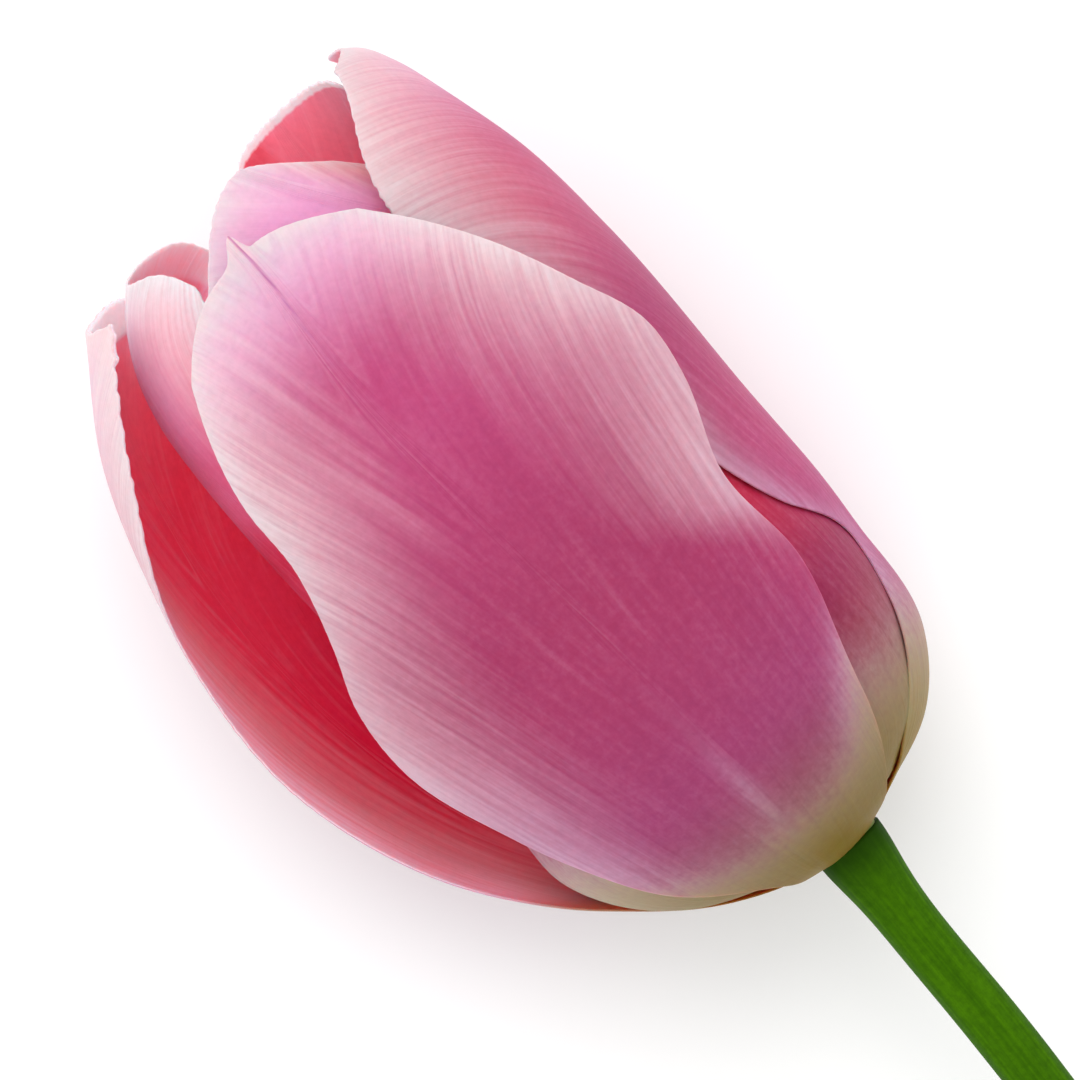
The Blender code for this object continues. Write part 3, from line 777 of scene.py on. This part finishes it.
def petal_tints(name, s, t, places, length, inside):
    """The shares that the petal's coat reads at each point. tint holds how near the pale border it is,
    below zero in the middle of the petal, then how near the cream foot, how flushed, partly with painted
    light, and its height. marks holds the crease, darkened with painted shade, the distance from the
    midrib over MIDRIB_SPAN, the rolled rim and the tone, which is painted light and shade."""
    finish = FINISH[name]
    left = t < 0
    widths = np.linalg.norm(np.diff(places, axis=1), axis=2)
    across = np.concatenate([np.zeros((len(s), 1)), np.cumsum(widths, axis=1)], axis=1)
    from_midrib = across - across[:, s.shape[1] // 2, None] + below_tip(finish, s)
    run = s * length

    # The border's share falls from 1 at a margin or the tip to 0 at its reach, rounded where they meet.
    reaches = finish["lining" if inside else "pale"]
    reach = np.where(left, *(through(PALE_STATIONS, side, s) for side in reaches))
    top_reach = 1.5 if inside else through((-1, 0, 1), finish["top"], t)
    side_share = np.maximum(np.where(left, across, across[:, -1:] - across) / reach, 0.01)
    top_share = np.maximum((length - run) / top_reach, 0.01)
    edge = np.clip(1 - (side_share**-3.0 + top_share**-3.0) ** (-1 / 3), -1, 1)
    # A border that reaches less than 8 mm in is fainter as well.
    strength = np.clip(reach / 8, 0, 1) * (1 if inside else finish["border"])
    edge = np.where(edge > 0, edge * strength, edge)

    # The cream foot climbs higher at the margins.
    cream = finish["cream"][int(inside)] + np.where(left, 8, 14) * np.abs(t) ** 3
    foot = 1 - smooth_step(0.4 * cream, cream, run)
    # The pale rib is 1.3 mm to each side at the foot, thins as it climbs and has gone by 48 mm.
    rib_width = 1.3 - 0.012 * run
    rib = (1 - inside) * finish["midrib"] * np.exp(-(((from_midrib + 0.8) / rib_width) ** 2))
    edge = np.maximum(edge, 0.55 * rib * (1 - smooth_step(15, 48, run)))
    foot = np.maximum(foot, 0.5 * rib * (1 - smooth_step(15, 34, run)))

    # The flush is partly painted light: a duller haze where light comes through the lining, and outside a
    # salmon flush towards the tip, partly the petal's own colour.
    if inside:
        flush_and_painted_light = np.where(left, *finish["painted_light_haze"]) * smooth_step(0.1, 0.45, np.abs(t))
    else:
        flush_and_painted_light = np.where(left, *finish["warm_flush_and_painted_light"]) * smooth_step(0.15, 0.8, np.abs(t)) * smooth_step(0.6, 0.8, s)
    # A creased petal has its fold darkened with painted shade.
    crease = (finish["crease"] > 0) * 0.7 * smooth_step(0.8, 0.97, s) * (not inside)
    hood_length, hood_share = finish["hood"]
    hood = (1 - smooth_step(0.8, 1.0, (length - run) / hood_length)) * hood_share * inside
    # The tone is painted light and shade: each half of the petal is drawn lighter or darker as it looks lit.
    low_painted_light, high_painted_light = finish["tone_and_painted_light"]
    tone_and_painted_light = low_painted_light + (high_painted_light - low_painted_light) * smooth_step(0.4, 0.7, s)
    tint = np.stack([edge, foot, flush_and_painted_light, s], axis=-1)
    marks = np.stack(np.broadcast_arrays(crease, np.abs(from_midrib) / MIDRIB_SPAN, hood, tone_and_painted_light), axis=-1)
    return tint, marks


def vein_map(name, s, places, length, inside):
    """The petal's vein map, across and up. A vein keeps one value of log(distance / core + 1) less
    spread times height, so veins run up beside the midrib and bend out to the margins."""
    petal, finish = PETALS[name], FINISH[name]
    run = s * length
    middle = petal["azimuth"] + through(petal["stations"], petal["lean"], s)
    turn = np.arctan2(-places[..., 1], places[..., 2]) - np.radians(middle)
    turn = np.mod(turn + np.pi, 2 * np.pi) - np.pi
    aside = np.hypot(places[..., 1], places[..., 2]) * turn + below_tip(finish, s)
    rise = np.interp(places[..., 0], places[:, s.shape[1] // 2, 0], run[:, 0])
    fan = VEIN_SPREAD * rise + VEIN_FLARE * np.maximum(rise - FLARE_START, 0) ** 2
    across = np.sign(aside) * np.log(np.abs(aside) / VEIN_CORE + 1) - fan * np.tanh(aside / 0.8)
    return np.stack([across + finish["seed"] + 4 * inside, run], axis=-1)


def petal_faces(name):
    """A petal's grid, its length, and its outer and inner faces in millimetres. The wall thins from the
    blade to the margin, the midrib is creased at the tip, and a rolled tip is thicker."""
    finish = FINISH[name]
    s, t, places, normals, length = petal_grid(PETALS[name], finish)
    furrow = finish["crease"] * np.exp(-((t / 0.03) ** 2)) * smooth_step(0.82, 0.97, s)
    furrow = furrow * (1 - smooth_step(0.985, 1.0, s) * 0.6)
    outer = places - normals * furrow[..., None]
    from_edge = np.minimum((1 - np.abs(t)) * HALF_WIDTH, (1 - s) * length)
    wall = MARGIN_WALL + (BLADE_WALL - MARGIN_WALL) * smooth_step(0, BLADE_START, from_edge)
    roll = 1 - smooth_step(0.8, 1.0, (length - s * length) / finish["hood"][0])
    wall = wall + finish["roll"] * roll
    return s, t, length, outer, outer - normals * wall[..., None]


def build_petal(name, coats):
    """One closed petal: the toothed outer face, the inner face a wall's thickness in from it, and a
    rounded rim between them, which stands out beyond both."""
    s, t, length, outer, inner = petal_faces(name)
    count = ROWS * COLUMNS
    index = np.arange(count).reshape(ROWS, COLUMNS)
    loop = np.concatenate([index[0, :-1], index[:-1, -1], index[-1, :0:-1], index[:0:-1, 0]])
    beyond = np.zeros_like(outer)
    beyond[:, 0] = outer[:, 0] - outer[:, 1]
    beyond[:, -1] = outer[:, -1] - outer[:, -2]
    beyond[-1] = outer[-1] - outer[-2]
    beyond[0] = outer[0] - outer[1]
    beyond = beyond.reshape(-1, 3)[loop]
    beyond /= np.maximum(np.linalg.norm(beyond, axis=1, keepdims=True), 1e-9)
    flat_outer, flat_inner = outer.reshape(-1, 3), inner.reshape(-1, 3)
    rim = (flat_outer[loop] + flat_inner[loop]) / 2 + beyond * MARGIN_WALL * 0.4
    places = lay_down(np.concatenate([flat_outer, flat_inner, rim]))

    ring = 2 * count + np.arange(len(loop))
    following = np.roll(ring, -1)
    next_loop = np.roll(loop, -1)
    quads = (
        grid_faces(ROWS, COLUMNS),
        grid_faces(ROWS, COLUMNS, count)[:, ::-1],
        np.stack([loop, next_loop, following, ring], axis=1),
        np.stack([ring, following, count + next_loop, count + loop], axis=1),
    )
    # The outer face and its half of the rim take the first coat, the inner ones the second.
    faces = np.repeat((0, 1, 0, 1), [len(part) for part in quads])

    outside, lined = (
        (*petal_tints(name, s, t, outer, length, inside), vein_map(name, s, outer, length, inside))
        for inside in (False, True)
    )
    tint, marks, veins = (
        np.concatenate([a.reshape(count, -1), b.reshape(count, -1), a.reshape(count, -1)[loop]])
        for a, b in zip(outside, lined)
    )
    attributes = {"tint": tint, "marks": marks}
    add_piece(f"{name}_bloom", places, np.concatenate(quads), coats, name, attributes, veins, faces)


def build_whorl(whorl, core):
    """The three petals of a whorl. core is the ramp of colour up the middle of a petal."""
    colours = bpy.context.scene.tulip_colours
    pale = ((0.33, colours.pale_low), (0.58, colours.pale_mid), (0.9, colours.pale_high))
    coats = (petal_material(f"petal skin, {whorl} whorl", core, pale, False, 0.5), lining_material())
    for name in PETALS:
        if name.startswith(whorl):
            build_petal(name, coats)


# ---------------------------------------------------------------- operators


class TULIP_OT_outer_petals(bpy.types.Operator):
    """Builds the three outer petals"""

    bl_idname = "tulip.outer_petals"
    bl_label = "Outer petals"

    def execute(self, context):
        colours = context.scene.tulip_colours
        # The ramp is dark at the foot and pale at the tip: partly the petal's own colour, partly painted
        # shade low down and painted light at the tip.
        core = (
            (0.2, colours.outer_low),
            (0.5, colours.outer_mid),
            (0.8, colours.outer_high),
            (1.0, colours.outer_tip),
        )
        build_whorl("outer", core)
        return {"FINISHED"}


class TULIP_OT_inner_petals(bpy.types.Operator):
    """Builds the three inner petals"""

    bl_idname = "tulip.inner_petals"
    bl_label = "Inner petals"

    def execute(self, context):
        colours = context.scene.tulip_colours
        # The low and middle crimson is partly the petal's own colour, partly painted shade and painted red
        # light thrown back by the linings round it.
        core = (
            (0.3, colours.inner_low),
            (0.46, colours.inner_mid),
            (0.68, colours.inner_mid),
            (0.77, colours.inner_high),
            (0.93, colours.inner_tip),
        )
        build_whorl("inner", core)
        return {"FINISHED"}


class TULIP_OT_stem(bpy.types.Operator):
    """Builds the stem"""

    bl_idname = "tulip.stem"
    bl_label = "Stem"

    def execute(self, context):
        sizes = context.scene.tulip_sizes
        radius, neck_radius = sizes.stem_radius / MM, sizes.neck_radius / MM
        at = np.linspace(0, 1, STEM_ROWS)
        route = along(STEM_ROUTE, at)
        distance = at * np.linalg.norm(np.diff(route, axis=0), axis=1).sum()
        drop = route[0, 0] - route[:, 0]
        # The stem widens into its neck over 5 mm, swells unevenly below it, and its cut edge is round.
        neck = np.exp(-((drop / 5) ** 2))
        swell = 0.05 * np.sin(drop / 9) + 0.03 * np.sin(drop / 3.7 + 1)
        radii = radius + (neck_radius - radius) * neck + swell * (1 - neck)
        cut_edge = 0.35
        radii = radii - 0.3 * np.exp(-(((distance - distance[-1]) / cut_edge) ** 2) * 4)

        def ribs(turn):
            return 1 + 0.012 * np.cos(6 * turn + 0.4) + 0.008 * np.cos(11 * turn)

        rings = tube_rings(route, radii, around=STEM_SIDES, shape=ribs)
        # Smaller rings fill the cut face.
        middle = rings[-1:].mean(axis=1, keepdims=True)
        cut = middle + (rings[-1:] - middle) * np.array([0.92, 0.7, 0.4, 0.15])[:, None, None]
        rings = np.concatenate([rings, cut])
        places, quads = closed_rings(rings)

        # tint holds the painted shade on the neck under the cup, 3.2 mm long, and the pith.
        shade = np.zeros((len(rings), STEM_SIDES, 4))
        shade[:STEM_ROWS, :, 0] = (0.85 * np.exp(-((drop / 3.2) ** 2)))[:, None]
        shade[STEM_ROWS:, :, 1] = 1
        shade[..., 3] = 1
        tint = np.concatenate([shade.reshape(-1, 4), shade[0, :1], shade[-1, :1]])
        turn = np.linspace(0, 1, STEM_SIDES, endpoint=False)
        girth = np.abs(turn - 0.5) * 2 * np.pi * radius
        lengthwise = np.concatenate([distance, np.full(len(cut), distance[-1])])
        grid = np.stack(np.broadcast_arrays(girth[None], lengthwise[:, None]), axis=-1).reshape(-1, 2)
        veins = np.concatenate([grid, grid[:1], grid[-1:]])
        coats = (stem_material(),)
        add_piece("stem_skin", lay_down(places), quads, coats, "stem", {"tint": tint}, veins)
        return {"FINISHED"}


class TULIP_OT_receptacle(bpy.types.Operator):
    """Builds the receptacle, the head of the stalk that the petals grow from"""

    bl_idname = "tulip.receptacle"
    bl_label = "Receptacle"

    def execute(self, context):
        profile = along(RECEPTACLE_PROFILE, np.linspace(0, 1, 60))
        turn = np.linspace(0, 2 * np.pi, 48, endpoint=False)
        bosses = 1 + 0.02 * np.cos(6 * turn)
        places, quads = closed_rings(turned_rings(profile[:, :1], profile[:, 1:2] * bosses, turn))
        # Firm pith under a thin green skin: dull, with soft blotches.
        skin = plant_material("receptacle tissue", linear("#6E8A2C"), linear("#8A9A45"), 700, 0.5, 0.0001)
        add_piece("receptacle_head", lay_down(places), quads, (skin,), "receptacle")
        return {"FINISHED"}


class TULIP_OT_pistil(bpy.types.Operator):
    """Builds the ovary and the three-lobed stigma on it"""

    bl_idname = "tulip.pistil"
    bl_label = "Pistil"

    def execute(self, context):
        radius = context.scene.tulip_sizes.ovary_radius / MM
        turn = np.linspace(0, 2 * np.pi, 72, endpoint=False)

        # A three-sided spindle with round ends and three narrow grooves.
        rise = np.linspace(0, 1, 120)[:, None]
        spindle = 0.45 + 0.55 * np.sin(np.pi * np.clip(0.12 + 0.76 * rise, 0, 1)) ** 0.7
        ends = np.sqrt(np.clip(1 - (2 * rise - 1) ** 16, 0, 1))
        groove = 0.12 * np.exp(-(((np.mod(turn * 3 / (2 * np.pi) + 0.5, 1) - 0.5) / 0.08) ** 2))
        section = 1 - 0.05 * (0.5 - 0.5 * np.cos(3 * turn)) - groove
        spread = np.maximum(radius * (spindle * ends) * section, 0.02)
        places, quads = closed_rings(turned_rings(OVARY_FOOT + OVARY_LENGTH * rise, spread, turn))
        # A smooth waxy wall, yellow-green and faintly mottled.
        skin = plant_material("ovary wall", linear("#A9B765"), linear("#8FA34A"), 500, 0.45, 0.00008)
        add_piece("ovary_wall", lay_down(places), quads, (skin,), "ovary")

        # Three lobes that stand higher than the dips between them, frilled towards the top.
        rise = np.linspace(0, 1, 60)[:, None]
        lobe = np.abs(np.cos(1.5 * turn))
        frill = 1 + 0.05 * np.sin(27 * turn) * rise
        swell = np.sin(np.pi * (0.08 + 0.84 * rise)) ** 0.6
        spread = np.maximum(STIGMA_RADIUS * (0.62 + 0.38 * lobe**0.8) * frill * swell, 0.02)
        crown = STIGMA_FOOT + STIGMA_HEIGHT * rise + 0.5 * rise * lobe
        places, quads = closed_rings(turned_rings(crown, spread, turn))
        # Short hairs that catch pollen: creamy and matt.
        velvet = plant_material("stigma velvet", linear("#E6DDA6"), linear("#CDBE72"), 1500, 0.8, 0.00015)
        add_piece("stigma_lobes", lay_down(places), quads, (velvet,), "stigma")
        return {"FINISHED"}


class TULIP_OT_stamens(bpy.types.Operator):
    """Builds the six stamens: filaments and anthers"""

    bl_idname = "tulip.stamens"
    bl_label = "Stamens"

    def execute(self, context):
        # Filaments are pale and watery, anthers dusty with dark pollen.
        stalk = plant_material("filament tissue", linear("#D9D3A0"), linear("#BDB77A"), 800, 0.5, 0.00005)
        pollen = plant_material("anther pollen", linear("#2E1B33"), linear("#4B3347"), 2500, 0.85, 0.0002, 0)
        axis = np.array([1.0, 0, 0])
        at = np.linspace(0, 1, 40)
        flat = along(FILAMENT_ROUTE, at)
        radii = 0.5 - 0.12 * at**2

        # An anther is flat, with a furrow down each face, round ends and a slightly narrower tip.
        rise = np.linspace(0, 1, 70)
        turn = np.linspace(0, 2 * np.pi, 36, endpoint=False)
        furrows = 1 - 0.22 * np.abs(np.cos(turn)) ** 6
        swell = np.sqrt(np.clip(1 - (2 * rise - 1) ** 6, 0, 1)) * (1 - 0.12 * rise)
        spread = np.maximum(swell, 0.02)[:, None] * furrows
        for number in range(1, STAMENS + 1):
            azimuth = np.radians(30 + (number - 1) * 360 / STAMENS)
            outward = np.array([0, -np.sin(azimuth), np.cos(azimuth)])
            sideways = np.array([0, np.cos(azimuth), np.sin(azimuth)])
            route = flat[:, :1] * axis + flat[:, 1:] * outward
            places, quads = closed_rings(tube_rings(route, radii, around=16))
            node = f"filament_{number}"
            add_piece(f"filament_stalk_{number}", lay_down(places), quads, (stalk,), node)

            direction = axis * np.cos(ANTHER_LEAN) + outward * np.sin(ANTHER_LEAN)
            cross = outward * np.cos(ANTHER_LEAN) - axis * np.sin(ANTHER_LEAN)
            foot = ANTHER_FOOT[0] * axis + ANTHER_FOOT[1] * outward
            rings = (
                foot
                + (0.2 + ANTHER_LENGTH * rise)[:, None, None] * direction
                + (spread * 0.95 * np.cos(turn))[..., None] * cross
                + (spread * 1.25 * np.sin(turn))[..., None] * sideways
            )
            places, quads = closed_rings(rings)
            node = f"anther_{number}"
            add_piece(f"anther_lobes_{number}", lay_down(places), quads, (pollen,), node)
        return {"FINISHED"}


class TULIP_OT_stage(bpy.types.Operator):
    """Builds the floor, the lights and the camera"""

    bl_idname = "tulip.stage"
    bl_label = "Stage"

    def execute(self, context):
        scene = context.scene
        scene.view_settings.view_transform = "Standard"
        head_middle = FLOWER_ORIGIN + (0.0396, -0.0002, 0.005)

        half = 3.0
        mesh = bpy.data.meshes.new("floor")
        corners = [(-half, -half, 0), (half, -half, 0), (half, half, 0), (-half, half, 0)]
        mesh.from_pydata(corners, [], [(0, 1, 2, 3)])
        # Plain matt paper.
        paper, add = new_material("white paper")
        matt = add("BsdfPrincipled", {"Base Color": linear("#FBFBFB"), "Roughness": 0.9})
        add("OutputMaterial", {"Surface": matt})
        mesh.materials.append(paper)
        floor = bpy.data.objects.new("floor", mesh)
        scene.collection.objects.link(floor)

        world = bpy.data.worlds.new("studio")
        world.use_nodes = True
        world.node_tree.nodes["Background"].inputs["Color"].default_value = (1, 1, 1, 1)
        world.node_tree.nodes["Background"].inputs["Strength"].default_value = 1.12
        scene.world = world

        key = bpy.data.lights.new("key", "AREA")
        key.shape = "DISK"
        key.size = 0.6
        key.energy = 2.4
        lamp = bpy.data.objects.new("key", key)
        aside = np.array((0.4, -0.2, 0.8))
        lamp.location = head_middle + aside
        lamp.rotation_euler = Vector(-aside).to_track_quat("-Z", "Y").to_euler()
        scene.collection.objects.link(lamp)

        # The camera looks straight down on the head, turned so that the stem leaves at a corner.
        height, frame_width = 0.5, 0.0964
        lens = bpy.data.cameras.new("camera")
        lens.sensor_width = 36
        lens.lens = lens.sensor_width * height / frame_width
        lens.clip_start = 0.01
        camera = bpy.data.objects.new("camera", lens)
        camera.location = head_middle + (0, 0, height)
        camera.rotation_euler = (0, 0, np.radians(180 + 44.1))
        scene.collection.objects.link(camera)
        scene.camera = camera
        return {"FINISHED"}


class TULIP_PT_panel(bpy.types.Panel):
    """Lists the steps of the tulip"""

    bl_idname = "TULIP_PT_panel"
    bl_label = "Cut Tulip"
    bl_space_type = "VIEW_3D"
    bl_region_type = "UI"
    bl_category = "Tulip"

    def draw(self, context):
        for operator in OPERATORS:
            self.layout.operator(operator.bl_idname)
        for group in (context.scene.tulip_sizes, context.scene.tulip_colours):
            for key in group.__annotations__:
                self.layout.prop(group, key)


OPERATORS = (
    TULIP_OT_stage,
    TULIP_OT_outer_petals,
    TULIP_OT_inner_petals,
    TULIP_OT_stem,
    TULIP_OT_receptacle,
    TULIP_OT_pistil,
    TULIP_OT_stamens,
)
CLASSES = (TulipSizes, TulipColours, *OPERATORS, TULIP_PT_panel)


def register():
    for entry in CLASSES:
        bpy.utils.register_class(entry)
    bpy.types.Scene.tulip_sizes = bpy.props.PointerProperty(type=TulipSizes)
    bpy.types.Scene.tulip_colours = bpy.props.PointerProperty(type=TulipColours)


def unregister():
    del bpy.types.Scene.tulip_sizes
    del bpy.types.Scene.tulip_colours
    for entry in reversed(CLASSES):
        bpy.utils.unregister_class(entry)


def main():
    register()
    bpy.ops.tulip.stage()
    bpy.ops.tulip.outer_petals()
    bpy.ops.tulip.inner_petals()
    bpy.ops.tulip.stem()
    bpy.ops.tulip.receptacle()
    bpy.ops.tulip.pistil()
    bpy.ops.tulip.stamens()


if __name__ == "__main__":
    main()
